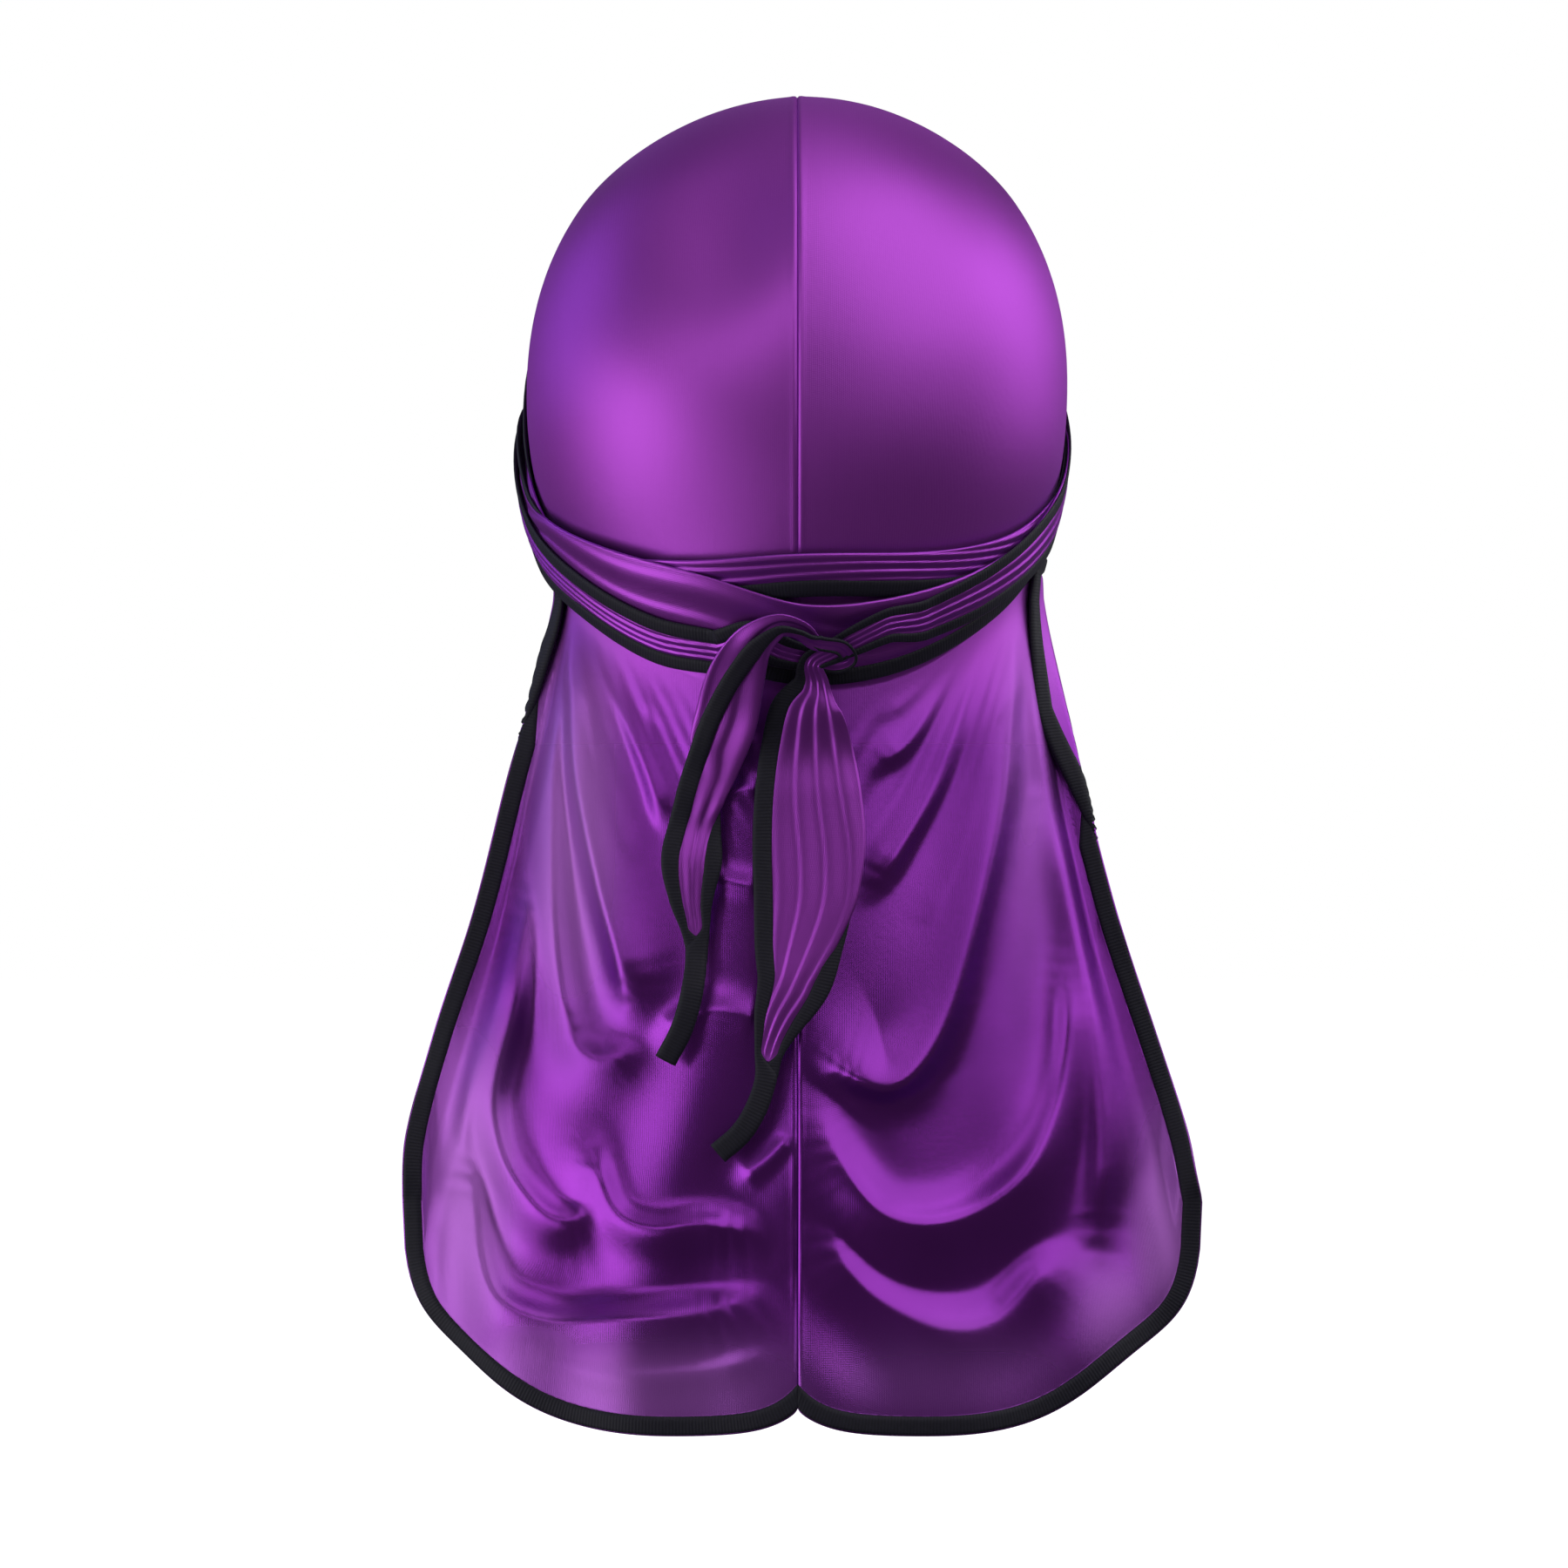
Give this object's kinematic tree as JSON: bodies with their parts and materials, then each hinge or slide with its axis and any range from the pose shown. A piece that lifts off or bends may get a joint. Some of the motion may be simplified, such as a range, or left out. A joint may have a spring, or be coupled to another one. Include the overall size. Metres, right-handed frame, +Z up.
{
  "type": "durag",
  "caption": "Satin durag tied for wearing: a close crown, long ties wrapped round the head and knotted at the nape with hanging tails, and a flared cape behind the neck.",
  "frame": {"origin": "the top of the head the durag sits on, inside the crown's cloth on the seam", "axes": "+Z up, +Y to the nape and the cape, -Y to the forehead, +X to the wearer's left"},
  "size_m": [0.2304, 0.1985, 0.393],
  "materials": {
    "satin": "purple satin weave, glossy along the folds and thin enough to glow against the light",
    "tape": "black woven binding tape, soft sheen, one row of stitching along its inner edge"
  },
  "bodies": {
    "root": {"panel_left": "satin", "panel_right": "satin", "front_binding": "tape", "side_binding_left": "tape", "side_binding_right": "tape", "strap_left": "satin", "strap_right": "satin", "strap_left_tape_upper": "tape", "strap_left_tape_lower": "tape", "strap_right_tape_upper": "tape", "strap_right_tape_lower": "tape"}
  },
  "joints": []
}
